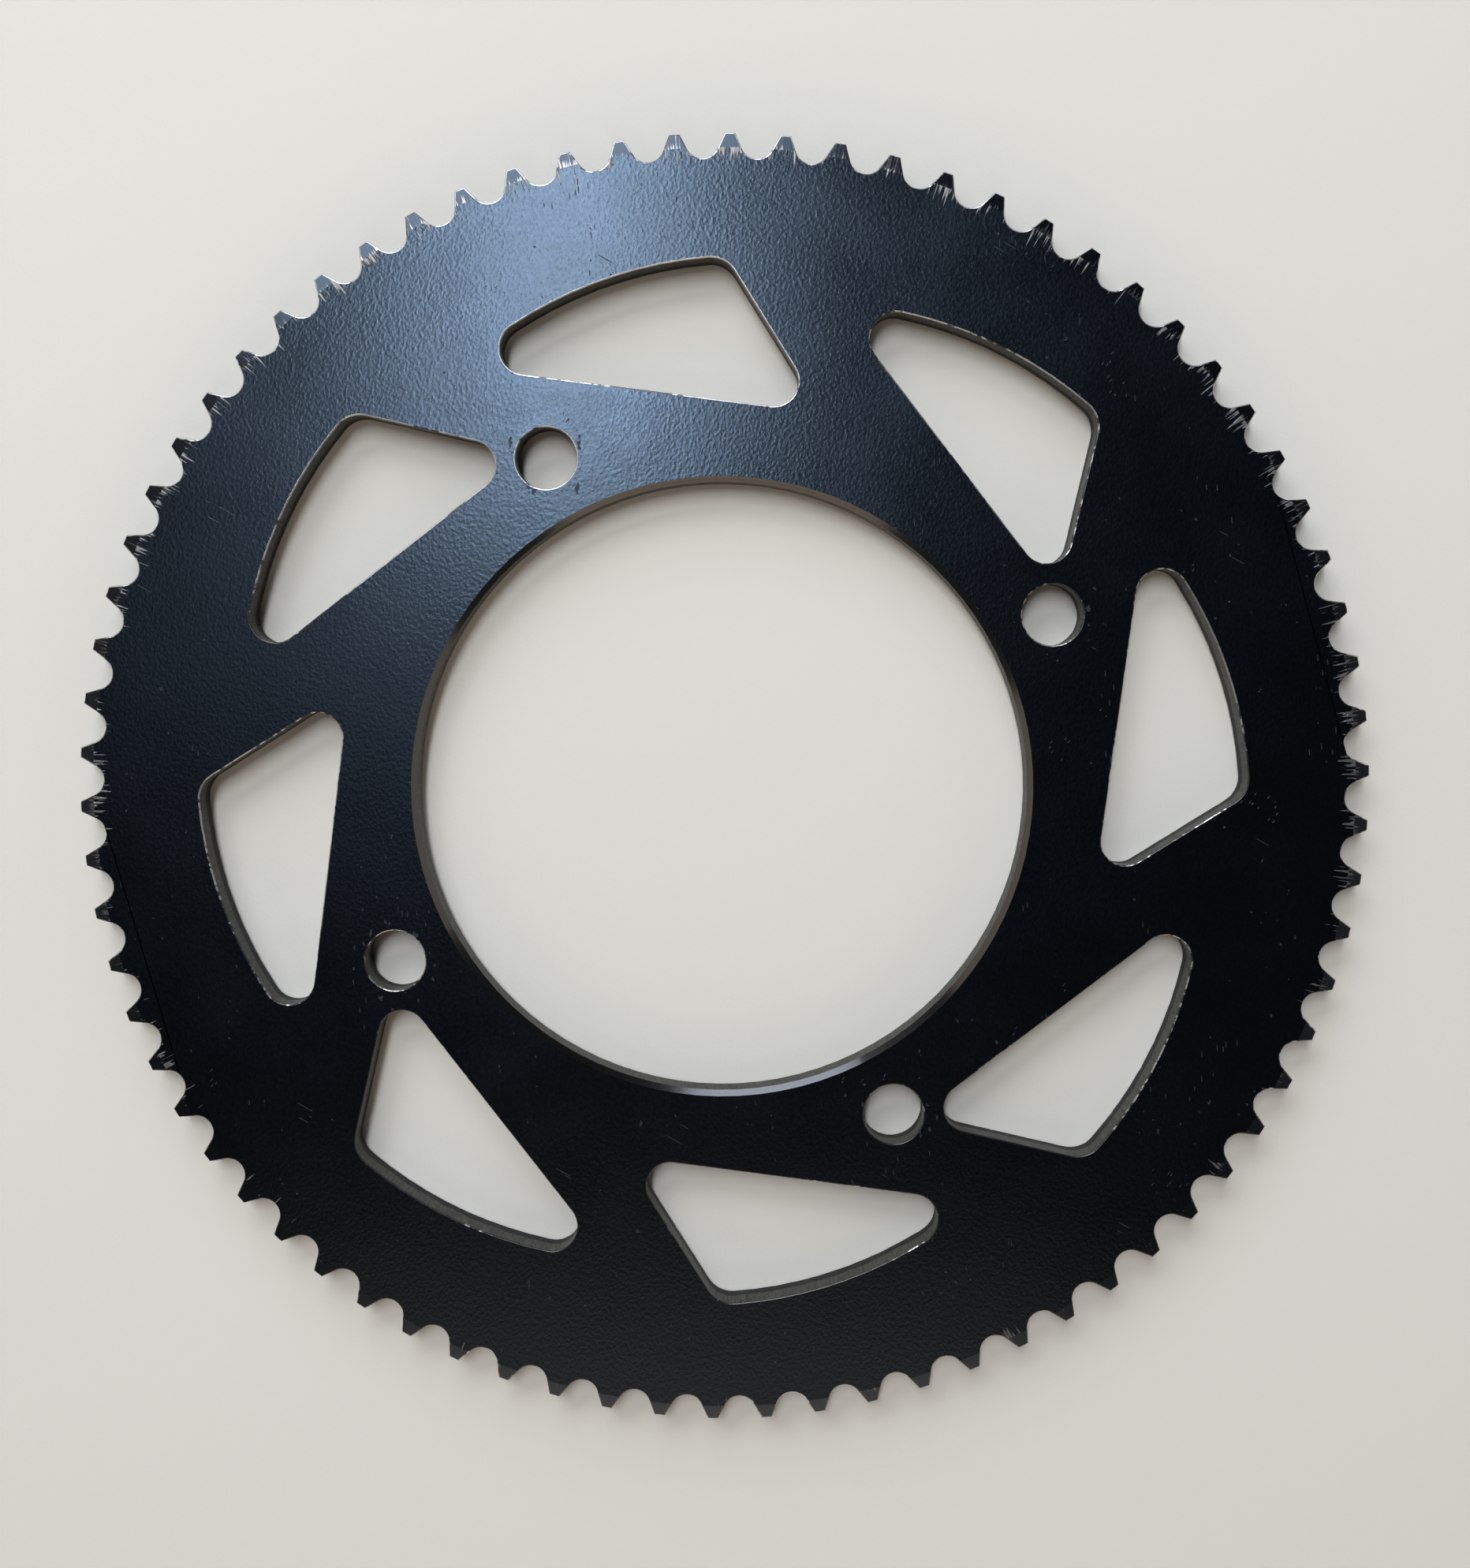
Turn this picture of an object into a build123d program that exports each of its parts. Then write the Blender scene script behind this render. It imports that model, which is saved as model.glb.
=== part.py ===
"""Rear chain sprocket: one punched steel plate with teeth, bore, bolt holes and windows.

Frame: millimetres. The plate lies flat with its hub face on z = 0, and +Z runs along the
axle, out through the outer face. The origin is on the axle. +X points at a tooth gap.
"""

import math
import os

from build123d import *

# Chain and teeth
TOOTH_COUNT = 74
CHAIN_PITCH = 8.0
ROLLER_DIAMETER = 4.6
SEAT_CLEARANCE = 0.15  # gap between the roller and the bottom of its seat
TIP_HEIGHT = 1.35  # tooth tip above the pitch circle
TIP_WIDTH = 1.55  # flat top of a tooth, measured round the tip circle
BEVEL_HEIGHT = 2.3  # lead-in bevel, measured inwards from the tip circle
BEVEL_DEPTH = 0.6  # what the bevel takes off each face at the tip

# Plate and bore
PLATE_THICKNESS = 4.4
BORE_DIAMETER = 90.5
BORE_CHAMFER = 0.75

# Bolt holes
BOLT_COUNT = 4
BOLT_DIAMETER = 8.0
BOLT_CLEARANCE = 1.0  # hole diameter less bolt diameter
BOLT_LAND = 9.75  # bore wall to bolt centre
FIRST_BOLT_ANGLE = 28.6

# Windows: each is a leaning three-sided opening with a curved outer side.
# Its corners are given before rounding, at angles from the window's own radius.
WINDOW_COUNT = 8
WINDOW_WEB = 11.85  # bore wall to the heel corner
WINDOW_RIM = 14.1  # shoulder corner to the bottom of the tooth gaps
WINDOW_TIP_RIM = 19.0  # tip corner to the bottom of the tooth gaps
HEEL_ANGLE = -14.2
SHOULDER_ANGLE = 0.3
TIP_ANGLE = 32.4
WINDOW_SIDE_RADIUS = 62.0  # curve of the outer side
HEEL_ROUND = 3.6
SHOULDER_ROUND = 4.2
TIP_ROUND = 3.8

# Worked out from the values above
pitch_radius = CHAIN_PITCH / (2 * math.sin(math.pi / TOOTH_COUNT))
seat_radius = ROLLER_DIAMETER / 2 + SEAT_CLEARANCE
root_radius = pitch_radius - seat_radius
tip_radius = pitch_radius + TIP_HEIGHT
bore_radius = BORE_DIAMETER / 2
bolt_circle_radius = bore_radius + BOLT_LAND
bolt_hole_radius = (BOLT_DIAMETER + BOLT_CLEARANCE) / 2
heel_radius = bore_radius + WINDOW_WEB
shoulder_radius = root_radius - WINDOW_RIM
window_tip_radius = root_radius - WINDOW_TIP_RIM


def polar(radius, degrees):
    """Point in the XY plane at a radius and an angle from +X."""
    angle = math.radians(degrees)
    return Vector(radius * math.cos(angle), radius * math.sin(angle))


def tooth_gap(middle):
    """Outline from one tooth tip, down through the roller seat, to the next tip.

    The seat is an arc of the roller's size, centred on the pitch circle. Each flank is
    the straight line from a tip corner that touches this arc.
    """
    half_step = 180 / TOOTH_COUNT
    corner_angle = half_step - math.degrees(TIP_WIDTH / 2 / tip_radius)
    seat_centre = polar(pitch_radius, middle)
    corner = polar(tip_radius, corner_angle) - polar(pitch_radius, 0)
    lean = math.degrees(math.atan2(corner.Y, corner.X))
    touch_angle = lean + math.degrees(math.acos(seat_radius / corner.length))
    right_corner = polar(tip_radius, middle - corner_angle)
    right_touch = seat_centre + polar(seat_radius, middle - touch_angle)
    seat_bottom = polar(root_radius, middle)
    left_touch = seat_centre + polar(seat_radius, middle + touch_angle)
    left_corner = polar(tip_radius, middle + corner_angle)
    next_corner = polar(tip_radius, middle + 2 * half_step - corner_angle)
    tip_middle = polar(tip_radius, middle + half_step)
    return [
        Edge.make_line(right_corner, right_touch),
        Edge.make_three_point_arc(right_touch, seat_bottom, left_touch),
        Edge.make_line(left_touch, left_corner),
        Edge.make_three_point_arc(left_corner, tip_middle, next_corner),
    ]


def toothed_disc():
    """Disc of the full thickness with every tooth gap cut square through it."""
    step = 360 / TOOTH_COUNT
    edges = [edge for index in range(TOOTH_COUNT) for edge in tooth_gap(index * step)]
    return extrude(Face(Wire(edges)), PLATE_THICKNESS)


def turned_blank():
    """Ring turned on a lathe: the bore with its chamfers, and the bevels at the rim."""
    bevel_start = tip_radius - BEVEL_HEIGHT
    section = Polyline(
        (bore_radius, 0, BORE_CHAMFER),
        (bore_radius, 0, PLATE_THICKNESS - BORE_CHAMFER),
        (bore_radius + BORE_CHAMFER, 0, PLATE_THICKNESS),
        (bevel_start, 0, PLATE_THICKNESS),
        (tip_radius, 0, PLATE_THICKNESS - BEVEL_DEPTH),
        (tip_radius, 0, BEVEL_DEPTH),
        (bevel_start, 0, 0),
        (bore_radius + BORE_CHAMFER, 0, 0),
        close=True,
    )
    return revolve(make_face(section), Axis.Z)


def window_outline():
    """One window about the +X radius, with its three corners rounded."""
    heel = polar(heel_radius, HEEL_ANGLE)
    shoulder = polar(shoulder_radius, SHOULDER_ANGLE)
    tip = polar(window_tip_radius, TIP_ANGLE)
    chord = tip - shoulder
    outwards = Vector(chord.Y, -chord.X).normalized()
    bulge = WINDOW_SIDE_RADIUS - math.sqrt(WINDOW_SIDE_RADIUS**2 - (chord.length / 2) ** 2)
    side_middle = shoulder + chord * 0.5 + outwards * bulge
    outline = Sketch() + Face(
        Wire(
            [
                Edge.make_line(heel, shoulder),
                Edge.make_three_point_arc(shoulder, side_middle, tip),
                Edge.make_line(tip, heel),
            ]
        )
    )
    for corner, radius in ((heel, HEEL_ROUND), (shoulder, SHOULDER_ROUND), (tip, TIP_ROUND)):
        vertex = outline.vertices().sort_by_distance(corner)[0]
        outline = fillet(vertex, radius)
    return outline


def sprocket_plate():
    """Toothed, turned plate with its windows and bolt holes cut through."""
    plate = toothed_disc() & turned_blank()
    window = extrude(window_outline(), PLATE_THICKNESS)
    window_step = 360 / WINDOW_COUNT
    for index in range(WINDOW_COUNT):
        plate -= Rot(0, 0, index * window_step) * window
    bolt_hole = Pos(bolt_circle_radius, 0, PLATE_THICKNESS / 2) * Cylinder(bolt_hole_radius, PLATE_THICKNESS)
    bolt_step = 360 / BOLT_COUNT
    for index in range(BOLT_COUNT):
        plate -= Rot(0, 0, FIRST_BOLT_ANGLE + index * bolt_step) * bolt_hole
    return plate


def main():
    os.makedirs("parts", exist_ok=True)
    plate = sprocket_plate()
    plate.label = "sprocket_plate"
    export_step(plate, "parts/sprocket_plate.step")
    print("pitch radius", round(pitch_radius, 3), "tip radius", round(tip_radius, 3))
    print("bolt circle diameter", round(2 * bolt_circle_radius, 3))


if __name__ == "__main__":
    main()
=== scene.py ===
"""Rear chain sprocket: the finished plate, its coat and worn metal, on a plain studio floor."""

import math

import bpy
from bpy.props import FloatProperty, FloatVectorProperty, IntProperty, PointerProperty
from bpy.types import NodeSocket, Operator, Panel, PropertyGroup
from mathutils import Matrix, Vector


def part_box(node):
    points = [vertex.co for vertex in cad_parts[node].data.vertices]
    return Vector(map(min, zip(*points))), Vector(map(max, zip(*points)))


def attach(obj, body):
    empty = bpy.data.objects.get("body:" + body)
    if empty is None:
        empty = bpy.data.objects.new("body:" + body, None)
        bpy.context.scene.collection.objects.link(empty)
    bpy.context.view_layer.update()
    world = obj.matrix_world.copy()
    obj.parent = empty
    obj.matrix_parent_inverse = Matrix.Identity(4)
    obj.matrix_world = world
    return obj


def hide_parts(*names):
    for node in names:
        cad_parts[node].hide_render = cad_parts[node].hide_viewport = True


bl_info = {
    "name": "Rear Sprocket",
    "version": (1, 0, 0),
    "blender": (4, 5, 0),
    "location": "3D View > Sidebar > Sprocket",
    "description": "Finishes a punched and coated chain sprocket and sets it on a studio floor",
    "category": "Object",
}

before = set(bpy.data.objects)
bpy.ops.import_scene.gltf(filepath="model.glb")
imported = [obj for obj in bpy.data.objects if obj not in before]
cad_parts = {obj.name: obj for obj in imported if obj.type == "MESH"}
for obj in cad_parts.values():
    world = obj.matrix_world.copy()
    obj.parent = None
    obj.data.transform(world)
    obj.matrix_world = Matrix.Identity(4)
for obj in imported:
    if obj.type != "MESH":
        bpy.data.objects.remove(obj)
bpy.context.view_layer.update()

MM = 0.001
CAD_NODE = "sprocket_plate"
LOW, HIGH = (Vector(corner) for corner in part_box(CAD_NODE))

# Where the plate's features are, in metres from the axle
BORE_RADIUS = 45.25 * MM
BORE_EDGE_RADIUS = 46.0 * MM  # outer edge of the bore chamfer
BOLT_CIRCLE_RADIUS = 55.0 * MM
BOLT_HOLE_RADIUS = 4.5 * MM
BOLT_COUNT = 4
BOLT_STEP = math.tau / BOLT_COUNT
FIRST_BOLT_ANGLE = math.radians(28.6)
WINDOW_COUNT = 8
WINDOW_STEP = math.tau / WINDOW_COUNT
FIRST_WINDOW_ANGLE = math.radians(4.0)  # a line out from the axle that crosses the first window
WINDOW_REACH = 80.0 * MM  # every window ends inside this
ROOT_RADIUS = 91.8 * MM  # bottoms of the tooth gaps
BEVEL_RADIUS = 93.3 * MM  # the tooth bevels start here
TOUCH = 0.002 * MM  # two places nearer than this are the same place

# The share of a face's normal that runs along the axle tells the kinds of face apart
LEVEL = 0.999
STEEPEST_TOOTH_BEVEL = 0.9
STEEPEST_CHAMFER = 0.5
UPRIGHT = 0.05

SAME_PLANE = math.radians(0.3)  # faces that turn less than this are one face
CRISP = math.radians(42)  # edges that turn more than this are shaded as sharp

# Material slots of the plate
FACE_COAT, RUBBED_LIP, CUT_WALL, BROKEN_WALL, TURNED_CHAMFER, TOOTH_BEVEL, TOOTH_WALL = range(7)

# Sockets of the Mix node that mix colours
MIX_A, MIX_B, MIX_RESULT = 6, 7, 2

# Sizes of the patterns, in millimetres
STREAK_WIDTH = 0.36  # chain streaks, drawn coarser than the real 0.1 to 0.2 mm so that they show
BEVEL_STREAK_WIDTH = 0.26  # the same on the bevels
STREAK_LENGTH = 6.0
STREAKS_REACH = 2.6  # how far in from the bottoms of the tooth gaps the streaks start
BEVEL_WEAR_REACH = 1.1  # how far up a tooth its bevel is worn the most
STREAK_PATCH = 8.0
BEVEL_PATCH = 7.0
BROAD_PATCH = 12.0  # slow changes of sheen and wear
SCRATCH_PATCH = 9.0
CHIP_LENGTH = 1.1
LIP_WEAR_LENGTH = 0.9
LIP_DENT = 0.4
BOLT_WEAR_FULL = 1.5  # the wear round a bolt hole is strongest up to here from its wall
BOLT_WEAR_END = 4.0  # and ends here
PLUS_Y_RAMP_START, PLUS_Y_RAMP_FULL = -60.0, 10.0  # along Y, the ramp towards +Y rises from none to full between these
TURNED_RING = 0.16  # the lathe tool's feed
WALL_LINE_STRETCH = 9.0  # lines on a punched wall are this many times as long as wide
PAPER_GRAIN = 0.5

# Scratches in three directions: turn in radians, length and width in millimetres, share of the face
SCRATCHES = ((0.5, 2.6, 0.13, 0.31), (1.5, 0.9, 0.14, 0.34), (2.3, 0.5, 0.12, 0.30))

# Soft boxes: name, degrees round the axle, degrees from straight above, distance and size in metres,
# radiance, colour, and degrees turned about its own middle
LIGHTS = (
    ("key_light", 111, 24.5, 1.4, (0.19, 0.75), 27.0, "FFFFFF", -20),
    ("key_skirt", 160, 15, 1.4, (0.5, 0.6), 0.7, "FFFFFF", 0),
    ("bevel_light", 112, 55, 1.5, (1.2, 0.5), 8.5, "FFFFFF", 0),
    ("back_light", 102, 73, 1.5, (0.9, 0.35), 10.0, "E4EEFF", 0),
    ("left_light", 175, 74, 2.0, (2.2, 0.9), 1.6, "FFEEDA", 0),
    ("right_light", 355, 74, 2.0, (2.2, 0.9), 1.4, "FFF0DE", 0),
    ("front_light", 270, 73, 2.0, (2.2, 0.9), 2.4, "FFE6CC", 0),
    ("front_fill", 268, 40, 1.4, (1.0, 0.5), 1.1, "FFE2C4", 0),
)

# Steps of the paper sweep, each so many times as wide as the last and so many metres higher
SWEEP = ((1.08, 0.02), (1.07, 0.07), (1.05, 0.14), (1.03, 0.2), (1.01, 0.25), (1.0, 1.2))


# ---------------------------------------------------------------- settings


def hex_colour(text):
    """An sRGB hex colour such as "1A1C20", as linear red, green and blue."""
    shares = (int(text[place:place + 2], 16) / 255 for place in (0, 2, 4))
    return tuple(c / 12.92 if c <= 0.04045 else ((c + 0.055) / 1.055) ** 2.4 for c in shares)


def length(name, description, default):
    return FloatProperty(name=name, description=description, default=default, unit="LENGTH", precision=5)


def colour(name, description, text):
    return FloatVectorProperty(
        name=name, description=description, subtype="COLOR", size=3, min=0.0, max=1.0,
        default=hex_colour(text))


class SprocketPlateSettings(PropertyGroup):
    rim_step: length("Rim step", "Longest piece of an edge that carries its own nicks", 0.6 * MM)
    lip_width: length("Lip width", "Width of the rounded lip round every opening and tooth", 0.2 * MM)
    nick_depth: length("Nick depth", "Depth of the deepest nicks in the lips", 0.09 * MM)
    nick_size: length("Nick size", "Usual length of a nick", 1.1 * MM)
    break_height: length("Break height", "Height at which the clean cut turns to broken metal", 1.7 * MM)
    break_step: length("Break step", "How far the broken metal lies behind the clean cut", 0.07 * MM)
    break_wave: length("Break wave", "How far the break line wanders up and down", 0.7 * MM)
    break_wave_length: length("Break wave length", "Usual length of a wave of the break line", 2.4 * MM)
    lip_rounds: IntProperty(
        name="Lip rounds", description="Number of faces across a lip", default=3, min=1, max=6)


class SprocketCoatSettings(PropertyGroup):
    coat: colour("Coat", "Black of the coat", "030406")
    # Painted light colour: the lamps are white, and this blue tint stands in for the blue of the light that
    # the coat mirrors
    sheen: colour("Sheen", "Tint of what the coat mirrors", "BADAFF")
    thin_coat: colour("Thin coat", "The coat where it has been scuffed", "121416")
    # Partly painted reflection: the wall tone is the thin coat lightened to stand in for the pale floor that
    # the walls mirror
    wall: colour("Wall", "The thin coat on the cut walls", "34352F")
    steel: colour("Steel", "Bare steel where the chain has cut the coat", "707173")
    bright_steel: colour("Bright steel", "Bare steel on the rubbed lips", "A2A3A5")
    peel_size: length("Peel size", "Size of the small waves in the coat", 0.45 * MM)
    peel_height: length("Peel height", "Height of the small waves in the coat", 0.03 * MM)
    roughness: FloatProperty(
        name="Roughness", description="Roughness of the coat on the flat faces",
        default=0.24, min=0.05, max=1.0, subtype="FACTOR")


class SprocketStageSettings(PropertyGroup):
    floor_radius: length("Floor radius", "Radius of the flat part of the floor", 2.6)
    floor_gap: length("Floor gap", "How far the floor lies below the plate", 0.3 * MM)
    floor: colour("Floor", "Colour of the floor", "BFC0BD")
    room: colour("Room", "Colour of the even light of the room", "C8CCD2")
    room_light: FloatProperty(
        name="Room light", description="Strength of the even light of the room", default=0.006, min=0.0)
    camera_place: FloatVectorProperty(
        name="Camera place", description="Where the camera stands", size=3,
        subtype="TRANSLATION", unit="LENGTH", precision=5, default=(0.0029, 0.0194, 0.2019))
    camera_turn: FloatVectorProperty(
        name="Camera turn", description="How the camera is turned from looking straight down", size=3,
        subtype="EULER", precision=5,
        default=(math.radians(-2.434), math.radians(0.6245), math.radians(0.756)))
    camera_lens: FloatProperty(
        name="Camera lens", description="Focal length in millimetres, on a frame 36 mm long",
        default=30.785, min=1.0)
    camera_shift: FloatVectorProperty(
        name="Camera shift", description="Shift of the view across and up, as a share of the frame",
        size=2, precision=5, default=(0.0044, -0.044))


# ---------------------------------------------------------------- modelling helpers


def edit_mode(piece):
    bpy.ops.object.select_all(action="DESELECT")
    piece.select_set(True)
    bpy.context.view_layer.objects.active = piece
    bpy.ops.object.mode_set(mode="EDIT")


def object_mode():
    bpy.ops.object.mode_set(mode="OBJECT")


def pick(piece, kind, wanted):
    """Goes into edit mode with only the items that wanted() is true for selected. Says how many."""
    edit_mode(piece)
    bpy.ops.mesh.select_mode(type=kind)
    bpy.ops.mesh.select_all(action="DESELECT")
    object_mode()
    mesh = piece.data
    items = {"VERT": mesh.vertices, "EDGE": mesh.edges, "FACE": mesh.polygons}[kind]
    chosen = [item for item in items if wanted(item)]
    for item in chosen:
        item.select = True
    bpy.ops.object.mode_set(mode="EDIT")
    return len(chosen)


def reach(place):
    """Distance from the axle."""
    return math.hypot(place.x, place.y)


def is_flat(face):
    return abs(face.normal.z) > LEVEL


def is_wall(face):
    return abs(face.normal.z) < UPRIGHT


def is_face(face):
    """Part of the outer or the hub face, which are flat."""
    return is_flat(face) and min(abs(face.center.z - LOW.z), abs(face.center.z - HIGH.z)) < TOUCH


def is_tooth_bevel(face):
    return STEEPEST_TOOTH_BEVEL < abs(face.normal.z) < LEVEL and reach(face.center) > BEVEL_RADIUS - MM


def is_chamfer(face):
    return STEEPEST_CHAMFER < abs(face.normal.z) < STEEPEST_TOOTH_BEVEL


def is_bore(face):
    """The bore's wall or one of its chamfers."""
    return not is_flat(face) and reach(face.center) < BORE_EDGE_RADIUS - TOUCH


def is_punched_opening(face):
    """A wall of a window or a bolt hole."""
    return is_wall(face) and BORE_EDGE_RADIUS < reach(face.center) < WINDOW_REACH


def edges_of(mesh, kind):
    return {key for face in mesh.polygons if kind(face) for key in face.edge_keys}


def give_material(piece, slot, wanted):
    pick(piece, "FACE", wanted)
    piece.active_material_index = slot
    bpy.ops.object.material_slot_assign()
    object_mode()


def displace_group(piece, group, size, strength, direction, mid_level, contrast=1.0, brightness=1.0):
    """Moves a group of vertices by a cloud pattern, and takes the group away again."""
    pattern = bpy.data.textures.new(group, "CLOUDS")
    pattern.noise_scale = size
    pattern.noise_depth = 2
    pattern.contrast = contrast
    pattern.intensity = brightness
    pattern.use_clamp = True  # values below 0 count as 0
    modifier = piece.modifiers.new(group, "DISPLACE")
    modifier.texture = pattern
    modifier.texture_coords = "LOCAL"
    modifier.vertex_group = group
    modifier.direction = direction
    modifier.mid_level = mid_level
    modifier.strength = strength
    bpy.ops.object.modifier_apply(modifier=modifier.name)
    piece.vertex_groups.remove(piece.vertex_groups[group])


# ---------------------------------------------------------------- the plate's mesh


def merged_copy(name):
    """A copy of the CAD plate, merged, with its triangles joined into whole walls and bevels."""
    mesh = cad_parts[CAD_NODE].data.copy()
    mesh.name = name
    mesh.materials.clear()
    plate = bpy.data.objects.new(name, mesh)
    bpy.context.scene.collection.objects.link(plate)
    edit_mode(plate)
    bpy.ops.mesh.select_all(action="SELECT")
    bpy.ops.mesh.remove_doubles(threshold=TOUCH)
    object_mode()
    pick(plate, "FACE", lambda face: not is_flat(face))
    bpy.ops.mesh.dissolve_limited(angle_limit=SAME_PLANE)
    object_mode()
    return plate


def join_into_sectors(plate):
    """Cuts the flat faces along lines across the axle through every opening, and makes each part one face."""
    # A cut goes right across the plate, through an opening on each side of the axle
    window_cuts = [FIRST_WINDOW_ANGLE + index * WINDOW_STEP for index in range(WINDOW_COUNT // 2)]
    bolt_cuts = [FIRST_BOLT_ANGLE + index * BOLT_STEP for index in range(BOLT_COUNT // 2)]
    for angle in window_cuts + bolt_cuts:
        edit_mode(plate)
        bpy.ops.mesh.select_all(action="SELECT")
        bpy.ops.mesh.bisect(plane_co=(0, 0, 0), plane_no=(-math.sin(angle), math.cos(angle), 0))
        object_mode()
    cuts = sorted((angle + half) % math.tau for angle in window_cuts + bolt_cuts for half in (0, math.pi))
    for start, end in zip(cuts, cuts[1:] + [cuts[0] + math.tau]):
        for side in (1, -1):

            def is_in_sector(face):
                angle = math.atan2(face.center.y, face.center.x) - start
                return face.normal.z * side > LEVEL and angle % math.tau < end - start

            pick(plate, "FACE", is_in_sector)
            bpy.ops.mesh.dissolve_faces(use_verts=False)
            object_mode()


def turn_the_bore(plate):
    """Makes the bore again as a turned one: a straight wall and two chamfers in one row of faces each."""
    chamfer = BORE_EDGE_RADIUS - BORE_RADIUS
    pick(plate, "FACE", is_bore)
    bpy.ops.mesh.delete(type="FACE")
    object_mode()
    mesh = plate.data
    face_edges = edges_of(mesh, is_face)

    def is_bore_rim(edge):
        on_rim = all(reach(mesh.vertices[index].co) < BORE_EDGE_RADIUS + TOUCH for index in edge.vertices)
        return on_rim and edge.key in face_edges

    pick(plate, "EDGE", is_bore_rim)
    bpy.ops.mesh.bridge_edge_loops()
    object_mode()
    for height in (LOW.z + chamfer, HIGH.z - chamfer):
        pick(plate, "FACE", lambda face: is_wall(face) and reach(face.center) < BORE_EDGE_RADIUS + TOUCH)
        bpy.ops.mesh.bisect(plane_co=(0, 0, height), plane_no=(0, 0, 1))
        object_mode()

    def is_inner_ring(vert):
        return reach(vert.co) < BORE_EDGE_RADIUS + TOUCH and LOW.z + TOUCH < vert.co.z < HIGH.z - TOUCH

    pick(plate, "VERT", is_inner_ring)
    share = BORE_RADIUS / BORE_EDGE_RADIUS
    bpy.ops.transform.resize(value=(share, share, 1), center_override=(0, 0, 0))
    object_mode()


def split_long_edges(plate, longest):
    """Halves the level edges of the punched walls until each can carry its own nicks."""
    found = True
    while found:
        mesh = plate.data
        walls = edges_of(mesh, lambda face: is_wall(face) and not is_bore(face))

        def is_long(edge):
            start, end = (mesh.vertices[index].co for index in edge.vertices)
            is_level = abs(start.z - end.z) < TOUCH
            return is_level and edge.key in walls and (end - start).length > longest

        found = pick(plate, "EDGE", is_long)
        if found:
            bpy.ops.mesh.subdivide(number_cuts=1)
        object_mode()


def break_the_walls(plate, settings):
    """The punch cuts clean at first, then the metal breaks away: a wandering line and a small step."""
    heights = (LOW.z + settings.break_height, LOW.z + settings.break_height - settings.break_step)
    for height in heights:
        pick(plate, "FACE", is_punched_opening)
        bpy.ops.mesh.bisect(plane_co=(0, 0, height), plane_no=(0, 0, 1))
        object_mode()
    group = plate.vertex_groups.new(name="break_line")
    lines = [v.index for v in plate.data.vertices if min(abs(v.co.z - height) for height in heights) < TOUCH]
    group.add(lines, 1.0, "REPLACE")
    broken = {face.index for face in plate.data.polygons
              if is_punched_opening(face) and face.center.z < heights[1]}
    displace_group(plate, group.name, settings.break_wave_length, settings.break_wave, "Z", 0.5)
    give_material(plate, BROKEN_WALL, lambda face: face.index in broken)
    pick(plate, "FACE", lambda face: face.material_index == BROKEN_WALL)
    bpy.ops.transform.shrink_fatten(value=-settings.break_step, use_even_offset=True)
    object_mode()


def round_the_lips(plate, settings):
    """Rounds the rims of the teeth, windows and holes, and nicks them a little."""
    mesh = plate.data
    walls = edges_of(mesh, is_wall)
    faces = edges_of(mesh, lambda face: is_face(face) or is_tooth_bevel(face))

    def is_rim(edge):
        return edge.key in walls and edge.key in faces

    pick(plate, "EDGE", is_rim)
    bpy.ops.mesh.bevel(
        offset=settings.lip_width, segments=settings.lip_rounds, profile=0.5, affect="EDGES",
        clamp_overlap=False, material=RUBBED_LIP)
    object_mode()
    group = plate.vertex_groups.new(name="lip_nicks")
    faces = plate.data.polygons
    lips = {v for face in faces if face.material_index == RUBBED_LIP for v in face.vertices}
    kept = {v for face in faces if is_face(face) or is_tooth_bevel(face) for v in face.vertices}
    group.add(sorted(lips - kept), 1.0, "REPLACE")
    # Dark, hard clouds leave most of a lip where it is and cut nicks in the rest
    displace_group(
        plate, group.name, settings.nick_size, -settings.nick_depth, "NORMAL", 0.0,
        contrast=2.6, brightness=0.35)


def shade(plate):
    """Smooth lips and curved walls, and crisp lines where the bevels meet the faces."""
    mesh = plate.data
    flats = edges_of(mesh, is_face)
    bevels = edges_of(mesh, is_tooth_bevel)
    pick(plate, "EDGE", lambda edge: edge.key in flats and edge.key in bevels)
    bpy.ops.mesh.mark_sharp()
    object_mode()
    bpy.ops.object.shade_smooth_by_angle(angle=CRISP, keep_sharp_edges=True)
    modifier = plate.modifiers.new("face_first_normals", "WEIGHTED_NORMAL")
    modifier.keep_sharp = True
    bpy.ops.object.modifier_apply(modifier=modifier.name)


# ---------------------------------------------------------------- materials


def new_material(name):
    """An empty material and its node tree."""
    material = bpy.data.materials.new(name)
    material.use_nodes = True
    material.node_tree.nodes.clear()
    return material, material.node_tree


def add_node(tree, kind, inputs, output=0, **settings):
    """Adds a node, sets its settings, sets or links its inputs, and gives one of its outputs."""
    node = tree.nodes.new("ShaderNode" + kind)
    for name, value in settings.items():
        setattr(node, name, value)
    for name, value in inputs.items():
        if isinstance(value, NodeSocket):
            tree.links.new(value, node.inputs[name])
        else:
            node.inputs[name].default_value = value
    return node.outputs[output] if node.outputs else node


def solid(rgb):
    """A colour as a node's socket takes it, not see-through."""
    return (*rgb, 1.0)


def places(tree):
    """Places on a piece, in millimetres from the axle."""
    place = add_node(tree, "TexCoord", {}, output="Object")
    return add_node(tree, "VectorMath", {0: place, "Scale": 1 / MM}, operation="SCALE")


def distance_out(tree, place):
    """Millimetres from the axle."""
    level = add_node(tree, "VectorMath", {0: place, 1: (1, 1, 0)}, operation="MULTIPLY")
    return add_node(tree, "VectorMath", {0: level}, output="Value", operation="LENGTH")


def angle_round(tree, place):
    """Radians round the axle."""
    parts = add_node(tree, "SeparateXYZ", {0: place}).node.outputs
    return add_node(tree, "Math", {0: parts["Y"], 1: parts["X"]}, operation="ARCTAN2")


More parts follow.
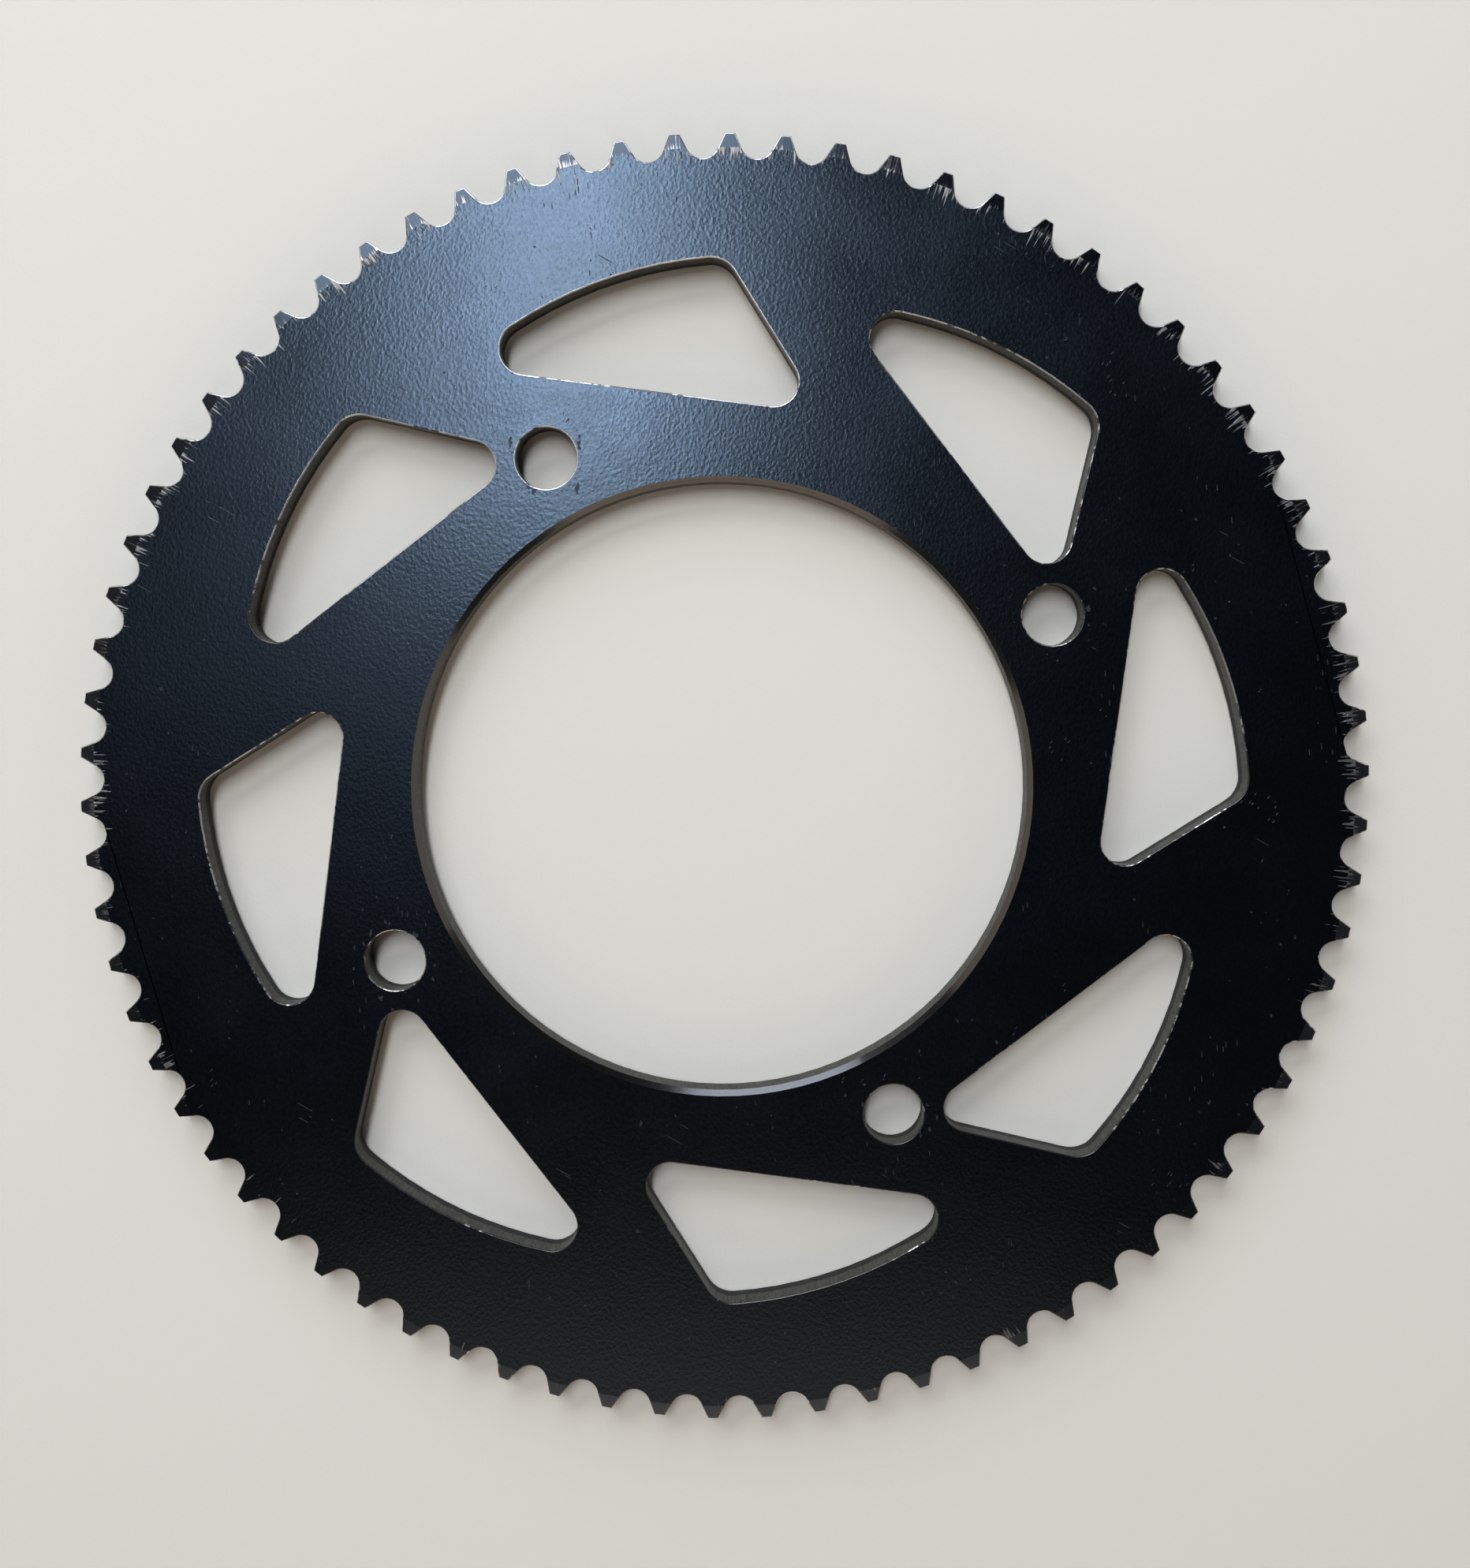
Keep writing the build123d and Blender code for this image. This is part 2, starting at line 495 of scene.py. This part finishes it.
def more_towards_plus_y(tree, place):
    """1 towards +Y and 0 towards -Y: the bare steel of streaks, lips and bevels is made commoner on this
    side.
    """
    y = add_node(tree, "SeparateXYZ", {0: place}, output="Y")
    return add_node(tree, "MapRange", {"Value": y, "From Min": PLUS_Y_RAMP_START, "From Max": PLUS_Y_RAMP_FULL})


def streaks_outward(tree, place, width):
    """Noise in streaks that run straight out from the axle, about width millimetres wide."""
    round_way = add_node(
        tree, "Math", {0: angle_round(tree, place), 1: BEVEL_RADIUS / MM / width}, operation="MULTIPLY")
    out_way = add_node(tree, "Math", {0: distance_out(tree, place), 1: STREAK_LENGTH}, operation="DIVIDE")
    streak_place = add_node(tree, "CombineXYZ", {"X": round_way, "Y": out_way})
    return add_node(tree, "TexNoise", {"Vector": streak_place, "Scale": 1.0, "Detail": 2.0})


def near_bolts(tree, place):
    """1 beside a bolt hole and 0 further away: bolt heads and tools have touched the coat here."""
    # Every bolt hole is turned onto the first one
    highest, lowest = FIRST_BOLT_ANGLE + BOLT_STEP / 2, FIRST_BOLT_ANGLE - BOLT_STEP / 2
    round_way = add_node(
        tree, "Math", {0: angle_round(tree, place), 1: highest, 2: lowest}, operation="WRAP")
    turned = add_node(tree, "Math", {0: round_way, 1: FIRST_BOLT_ANGLE}, operation="SUBTRACT")
    across = add_node(tree, "Math", {0: turned, 1: BOLT_CIRCLE_RADIUS / MM}, operation="MULTIPLY")
    spot = add_node(tree, "CombineXYZ", {"X": distance_out(tree, place), "Y": across})
    bolt = (BOLT_CIRCLE_RADIUS / MM, 0, 0)
    from_bolt = add_node(tree, "VectorMath", {0: spot, 1: bolt}, output="Value", operation="DISTANCE")
    wall = BOLT_HOLE_RADIUS / MM
    return add_node(
        tree, "MapRange",
        {"Value": from_bolt, "From Min": wall + BOLT_WEAR_FULL, "From Max": wall + BOLT_WEAR_END,
         "To Min": 1.0, "To Max": 0.0},
        interpolation_type="SMOOTHSTEP")


def scratches(tree, place, turn, long, wide, share):
    """1 on straight scratches, about long by wide millimetres, in patches over a share of the face."""
    turned = add_node(tree, "VectorRotate", {"Vector": place, "Angle": turn}, rotation_type="Z_AXIS")
    cell_size = 7  # one scratch lies in a cell this many times its own length and width
    cell = (1 / (cell_size * long), 1 / (cell_size * wide), 0)
    cell_place = add_node(tree, "VectorMath", {0: turned, 1: cell}, operation="MULTIPLY")
    off = add_node(
        tree, "TexVoronoi", {"Vector": cell_place, "Scale": 1.0}, output="Distance", voronoi_dimensions="2D")
    mark = add_node(
        tree, "MapRange", {"Value": off, "From Min": 0.05, "From Max": 0.08, "To Min": 1.0, "To Max": 0.0})
    patch = add_node(tree, "TexNoise", {"Vector": turned, "Scale": 1 / SCRATCH_PATCH, "Detail": 1.0})
    inside = add_node(tree, "MapRange", {"Value": patch, "From Min": 1.0 - share, "From Max": 1.02 - share})
    return add_node(tree, "Math", {0: mark, 1: inside}, operation="MULTIPLY")


def coated_face(coat):
    """Steel with a baked black coat, satin.

    It mirrors the lights in a broad sheen whose blue-grey is a painted light colour, broken by small even
    waves, black where no light is mirrored, with dull chips and scratches, and silver streaks beside the
    teeth where the chain has cut through it.
    """
    material, tree = new_material("satin_black_baked_coat")
    place = places(tree)

    # Silver streaks in patches over the last few millimetres before the bevels, most towards +Y
    streaks = streaks_outward(tree, place, STREAK_WIDTH)
    near_teeth = add_node(
        tree, "MapRange",
        {"Value": distance_out(tree, place), "From Min": ROOT_RADIUS / MM - STREAKS_REACH,
         "From Max": BEVEL_RADIUS / MM})
    patches = add_node(tree, "TexNoise", {"Vector": place, "Scale": 1 / STREAK_PATCH, "Detail": 2.0})
    patches = add_node(
        tree, "Math", {0: more_towards_plus_y(tree, place), 1: 0.2, 2: patches}, operation="MULTIPLY_ADD")
    patched = add_node(tree, "MapRange", {"Value": patches, "From Min": 0.5, "From Max": 0.68})
    streak_share = add_node(tree, "Math", {0: near_teeth, 1: patched}, operation="MULTIPLY")
    streak_level = add_node(tree, "Math", {0: streak_share, 1: 0.29, 2: streaks}, operation="MULTIPLY_ADD")
    cut = add_node(tree, "MapRange", {"Value": streak_level, "From Min": 0.79, "From Max": 0.84})

    # Chips, a little longer one way and more of them round the bolt holes, then the scratches
    chip_place = add_node(tree, "VectorMath", {0: place, 1: (1.0, 1.0 / 1.5, 1.0)}, operation="MULTIPLY")
    chip_noise = add_node(tree, "TexNoise", {"Vector": chip_place, "Scale": 1 / CHIP_LENGTH, "Detail": 2.0})
    broad = add_node(tree, "TexNoise", {"Vector": place, "Scale": 1 / BROAD_PATCH, "Detail": 1.0})
    chip_level = add_node(
        tree, "Math", {0: near_bolts(tree, place), 1: 0.09, 2: chip_noise}, operation="MULTIPLY_ADD")
    chip_level = add_node(tree, "Math", {0: broad, 1: 0.22, 2: chip_level}, operation="MULTIPLY_ADD")
    marks = add_node(tree, "MapRange", {"Value": chip_level, "From Min": 0.85, "From Max": 0.865})
    for turn, long, wide, share in SCRATCHES:
        scratch = scratches(tree, place, turn, long, wide, share)
        marks = add_node(tree, "Math", {0: marks, 1: scratch}, operation="MAXIMUM")

    worn_colour = add_node(
        tree, "Mix", {"Factor": marks, MIX_A: solid(coat.coat), MIX_B: solid(coat.thin_coat)},
        output=MIX_RESULT, data_type="RGBA")
    face_colour = add_node(
        tree, "Mix", {"Factor": cut, MIX_A: worn_colour, MIX_B: solid(coat.steel)},
        output=MIX_RESULT, data_type="RGBA")
    sheen = add_node(
        tree, "MapRange",
        {"Value": broad, "From Min": 0.3, "From Max": 0.7,
         "To Min": coat.roughness + 0.04, "To Max": coat.roughness + 0.08})
    roughness = add_node(tree, "Math", {0: marks, 1: 0.28, 2: sheen}, operation="MULTIPLY_ADD")
    roughness = add_node(tree, "Math", {0: cut, 1: 0.22, 2: roughness}, operation="MULTIPLY_ADD")

    # The waves that the coat dries in, a little longer one way, then the marks and streaks cut into it
    wave_place = add_node(tree, "VectorRotate", {"Vector": place, "Angle": 0.25}, rotation_type="Z_AXIS")
    wave_place = add_node(tree, "VectorMath", {0: wave_place, 1: (1.0, 0.8, 1.0)}, operation="MULTIPLY")
    waves = add_node(
        tree, "TexNoise",
        {"Vector": wave_place, "Scale": MM / coat.peel_size, "Detail": 2.0, "Roughness": 0.5})
    normal = add_node(tree, "Bump", {"Height": waves, "Distance": coat.peel_height, "Strength": 1.0})
    # The hollows of the waves are a little duller than their crests
    roughness = add_node(tree, "Math", {0: waves, 1: -0.12, 2: roughness}, operation="MULTIPLY_ADD")
    sunk = add_node(tree, "Math", {0: 1.0, 1: marks}, operation="SUBTRACT")
    normal = add_node(
        tree, "Bump", {"Height": sunk, "Distance": 0.03 * MM, "Strength": 1.0, "Normal": normal})
    grooves = add_node(tree, "Math", {0: cut, 1: streaks}, operation="MULTIPLY")
    normal = add_node(
        tree, "Bump", {"Height": grooves, "Distance": 0.08 * MM, "Strength": 1.0, "Normal": normal})

    # The specular tint paints the blue of the light into what the coat mirrors
    shader = add_node(tree, "BsdfPrincipled", {
        "Base Color": face_colour, "Metallic": cut, "Roughness": roughness, "Normal": normal,
        "IOR": 1.5, "Specular Tint": solid(coat.sheen)})
    add_node(tree, "OutputMaterial", {"Surface": shader})
    return material


def rubbed_lip(coat):
    """A rounded edge whose coat has rubbed through: bare steel that glints, in broken lengths."""
    material, tree = new_material("coat_rubbed_through_to_steel")
    place = places(tree)
    broad = add_node(tree, "TexNoise", {"Vector": place, "Scale": 1 / BROAD_PATCH, "Detail": 1.0})
    fine = add_node(tree, "TexNoise", {"Vector": place, "Scale": 1 / LIP_WEAR_LENGTH, "Detail": 2.0})
    level = add_node(tree, "Math", {0: fine, 1: 0.6, 2: broad}, operation="MULTIPLY_ADD")
    level = add_node(tree, "Math", {0: more_towards_plus_y(tree, place), 1: 0.22, 2: level}, operation="MULTIPLY_ADD")
    bare = add_node(tree, "MapRange", {"Value": level, "From Min": 0.93, "From Max": 1.0})
    lip_colour = add_node(
        tree, "Mix", {"Factor": bare, MIX_A: solid(coat.coat), MIX_B: solid(coat.bright_steel)},
        output=MIX_RESULT, data_type="RGBA")
    dents = add_node(tree, "TexNoise", {"Vector": place, "Scale": 1 / LIP_DENT})
    normal = add_node(tree, "Bump", {"Height": dents, "Distance": 0.03 * MM, "Strength": 1.0})
    shader = add_node(tree, "BsdfPrincipled", {
        "Base Color": lip_colour, "Metallic": bare, "Roughness": 0.33, "Normal": normal})
    add_node(tree, "OutputMaterial", {"Surface": shader})
    return material


def cut_wall(coat, name, tone, groove, depth, roughness):
    """A punched wall under thin coat: fine lines from face to face, greyer and duller than the faces. The
    tone given for the clean walls is partly a painted reflection of the pale floor.
    """
    material, tree = new_material(name)
    stretch = (1.0, 1.0, 1 / WALL_LINE_STRETCH)
    line_place = add_node(tree, "VectorMath", {0: places(tree), 1: stretch}, operation="MULTIPLY")
    lines = add_node(tree, "TexNoise", {"Vector": line_place, "Scale": 1 / groove, "Detail": 3.0})
    tint = add_node(tree, "MapRange", {"Value": lines, "From Min": 0.3, "From Max": 0.6})
    wall_colour = add_node(
        tree, "Mix", {"Factor": tint, MIX_A: solid(coat.coat), MIX_B: solid(tone)},
        output=MIX_RESULT, data_type="RGBA")
    normal = add_node(tree, "Bump", {"Height": lines, "Distance": depth, "Strength": 1.0})
    shader = add_node(
        tree, "BsdfPrincipled",
        {"Base Color": wall_colour, "Roughness": roughness, "Normal": normal, "IOR": 1.36})
    add_node(tree, "OutputMaterial", {"Surface": shader})
    return material


def turned_chamfer(coat):
    """The turned bevel of the bore, coated: a glossy black band with fine rings round it."""
    material, tree = new_material("coat_over_turned_chamfer")
    out_way = distance_out(tree, places(tree))
    rings = add_node(
        tree, "TexNoise", {"W": out_way, "Scale": 1 / TURNED_RING, "Detail": 2.0}, noise_dimensions="1D")
    normal = add_node(tree, "Bump", {"Height": rings, "Distance": 0.006 * MM, "Strength": 1.0})
    shader = add_node(
        tree, "BsdfPrincipled", {"Base Color": solid(coat.coat), "Roughness": 0.17, "Normal": normal})
    add_node(tree, "OutputMaterial", {"Surface": shader})
    return material


def tooth_bevel(coat):
    """The bevels that lead the chain in: smooth black coat with thin silver streaks from tip to root."""
    material, tree = new_material("coat_worn_by_the_chain")
    place = places(tree)
    streaks = streaks_outward(tree, place, BEVEL_STREAK_WIDTH)
    patches = add_node(tree, "TexNoise", {"Vector": place, "Scale": 1 / BEVEL_PATCH, "Detail": 1.0})
    root_share = add_node(
        tree, "MapRange",
        {"Value": distance_out(tree, place), "From Min": BEVEL_RADIUS / MM,
         "From Max": BEVEL_RADIUS / MM + BEVEL_WEAR_REACH, "To Min": 0.14, "To Max": 0.0})
    level = add_node(tree, "Math", {0: patches, 1: 0.5, 2: streaks}, operation="MULTIPLY_ADD")
    level = add_node(tree, "Math", {0: level, 1: root_share}, operation="ADD")
    level = add_node(tree, "Math", {0: more_towards_plus_y(tree, place), 1: 0.14, 2: level}, operation="MULTIPLY_ADD")
    bare = add_node(tree, "MapRange", {"Value": level, "From Min": 1.04, "From Max": 1.14})
    bevel_colour = add_node(
        tree, "Mix", {"Factor": bare, MIX_A: solid(coat.coat), MIX_B: solid(coat.steel)},
        output=MIX_RESULT, data_type="RGBA")
    normal = add_node(tree, "Bump", {"Height": streaks, "Distance": 0.014 * MM, "Strength": 1.0})
    # The specular tint paints the blue of the light into what the bevels mirror
    shader = add_node(tree, "BsdfPrincipled", {
        "Base Color": bevel_colour, "Metallic": bare, "Roughness": 0.25, "Normal": normal,
        "IOR": 1.5, "Specular Tint": solid(coat.sheen)})
    add_node(tree, "OutputMaterial", {"Surface": shader})
    return material


class SPROCKET_OT_plate(Operator):
    """Finish the plate: broken walls, rounded lips, coat and worn metal"""

    bl_idname = "sprocket.plate"
    bl_label = "Finish the plate"

    def execute(self, context):
        settings = context.scene.sprocket_plate
        coat = context.scene.sprocket_coat
        plate = merged_copy("coated_plate")
        materials = {
            FACE_COAT: coated_face(coat),
            RUBBED_LIP: rubbed_lip(coat),
            # The clean walls take the wall tone, which holds a painted reflection of the floor as well as the
            # thin coat
            CUT_WALL: cut_wall(
                coat, "thin_coat_and_painted_floor_reflection_on_clean_wall", coat.wall,
                groove=0.25, depth=0.02 * MM, roughness=0.45),
            BROKEN_WALL: cut_wall(
                coat, "coat_over_broken_wall", coat.thin_coat,
                groove=0.45, depth=0.09 * MM, roughness=0.6),
            TURNED_CHAMFER: turned_chamfer(coat),
            TOOTH_BEVEL: tooth_bevel(coat),
            TOOTH_WALL: cut_wall(
                coat, "coat_over_tooth_flanks", coat.thin_coat,
                groove=0.3, depth=0.03 * MM, roughness=0.5),
        }
        for slot in sorted(materials):
            plate.data.materials.append(materials[slot])
        join_into_sectors(plate)
        turn_the_bore(plate)
        split_long_edges(plate, settings.rim_step)
        give_material(plate, TOOTH_BEVEL, is_tooth_bevel)
        give_material(plate, TURNED_CHAMFER, is_chamfer)
        give_material(plate, CUT_WALL, lambda face: is_wall(face) and reach(face.center) < WINDOW_REACH)
        give_material(plate, TOOTH_WALL, lambda face: is_wall(face) and reach(face.center) > WINDOW_REACH)
        break_the_walls(plate, settings)
        round_the_lips(plate, settings)
        shade(plate)
        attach(plate, "root")
        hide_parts(CAD_NODE)
        return {"FINISHED"}


# ---------------------------------------------------------------- stage


def studio_floor(settings):
    """A pale paper floor that curves up into a wall all round, so that its end doesn't show."""
    radius = settings.floor_radius
    bpy.ops.object.select_all(action="DESELECT")
    bpy.ops.mesh.primitive_circle_add(
        vertices=128, radius=radius, fill_type="NGON", location=(0, 0, LOW.z - settings.floor_gap))
    floor = bpy.context.active_object
    floor.name = "studio_floor"
    bpy.ops.object.transform_apply(location=True, rotation=False, scale=False)
    edit_mode(floor)
    bpy.ops.mesh.select_mode(type="EDGE")
    bpy.ops.mesh.select_all(action="SELECT")
    bpy.ops.mesh.region_to_loop()
    for growth, rise in SWEEP:
        bpy.ops.mesh.extrude_edges_move(TRANSFORM_OT_translate={"value": (0, 0, rise)})
        bpy.ops.transform.resize(value=(growth, growth, 1))
    object_mode()
    bpy.ops.object.shade_smooth_by_angle(angle=CRISP)
    # Uncoated paper has no shine and a fine grain, so it looks even and soft
    material, tree = new_material("matt_studio_paper")
    grain = add_node(tree, "TexNoise", {"Vector": places(tree), "Scale": 1 / PAPER_GRAIN})
    normal = add_node(tree, "Bump", {"Height": grain, "Distance": 0.02 * MM, "Strength": 1.0})
    shader = add_node(
        tree, "BsdfPrincipled", {"Base Color": solid(settings.floor), "Roughness": 0.85, "Normal": normal})
    add_node(tree, "OutputMaterial", {"Surface": shader})
    floor.data.materials.append(material)


def soft_light(name, compass, tilt, distance, size, radiance, text, turn):
    """A soft box facing the plate: compass is its direction round the axle, tilt its lean from above."""
    compass, tilt = math.radians(compass), math.radians(tilt)
    lean = math.sin(tilt)
    towards = Vector((lean * math.cos(compass), lean * math.sin(compass), math.cos(tilt)))
    bpy.ops.object.light_add(type="AREA", location=towards * distance)
    light = bpy.context.active_object
    light.name = name
    light.rotation_euler = towards.to_track_quat("Z", "Y").to_euler()
    light.rotation_euler.rotate_axis("Z", math.radians(turn))
    light.data.shape = "RECTANGLE"
    light.data.size, light.data.size_y = size
    light.data.energy = radiance * math.pi * size[0] * size[1]  # the power of an even light of that radiance
    light.data.color = hex_colour(text)


class SPROCKET_OT_stage(Operator):
    """Set the floor, the soft lights and the camera"""

    bl_idname = "sprocket.stage"
    bl_label = "Set the stage"

    def execute(self, context):
        settings = context.scene.sprocket_stage
        studio_floor(settings)
        for light in LIGHTS:
            soft_light(*light)
        world = bpy.data.worlds.new("dim_studio")
        world.use_nodes = True
        background = world.node_tree.nodes["Background"]
        background.inputs["Color"].default_value = solid(settings.room)
        background.inputs["Strength"].default_value = settings.room_light
        context.scene.world = world
        context.scene.view_settings.view_transform = "Standard"
        bpy.ops.object.camera_add(location=settings.camera_place, rotation=settings.camera_turn)
        camera = context.active_object
        camera.name = "camera"
        camera.data.lens = settings.camera_lens
        camera.data.sensor_width = 36.0
        camera.data.shift_x, camera.data.shift_y = settings.camera_shift
        camera.data.clip_start = 0.01
        context.scene.camera = camera
        return {"FINISHED"}


# ---------------------------------------------------------------- panel and registration


class SPROCKET_PT_sidebar(Panel):
    """Lists the steps and their settings"""

    bl_idname = "SPROCKET_PT_sidebar"
    bl_label = "Sprocket"
    bl_space_type = "VIEW_3D"
    bl_region_type = "UI"
    bl_category = "Sprocket"

    def draw(self, context):
        layout = self.layout
        groups = (
            (SPROCKET_OT_plate, (context.scene.sprocket_plate, context.scene.sprocket_coat)),
            (SPROCKET_OT_stage, (context.scene.sprocket_stage,)),
        )
        for operator, settings_groups in groups:
            layout.operator(operator.bl_idname)
            for settings in settings_groups:
                for name in type(settings).__annotations__:
                    layout.prop(settings, name)


CLASSES = (
    SprocketPlateSettings, SprocketCoatSettings, SprocketStageSettings,
    SPROCKET_OT_plate, SPROCKET_OT_stage, SPROCKET_PT_sidebar,
)


def register():
    for item in CLASSES:
        bpy.utils.register_class(item)
    bpy.types.Scene.sprocket_plate = PointerProperty(type=SprocketPlateSettings)
    bpy.types.Scene.sprocket_coat = PointerProperty(type=SprocketCoatSettings)
    bpy.types.Scene.sprocket_stage = PointerProperty(type=SprocketStageSettings)


def unregister():
    del bpy.types.Scene.sprocket_stage
    del bpy.types.Scene.sprocket_coat
    del bpy.types.Scene.sprocket_plate
    for item in reversed(CLASSES):
        bpy.utils.unregister_class(item)


def main():
    register()
    bpy.ops.sprocket.plate()
    bpy.ops.sprocket.stage()


if __name__ == "__main__":
    main()
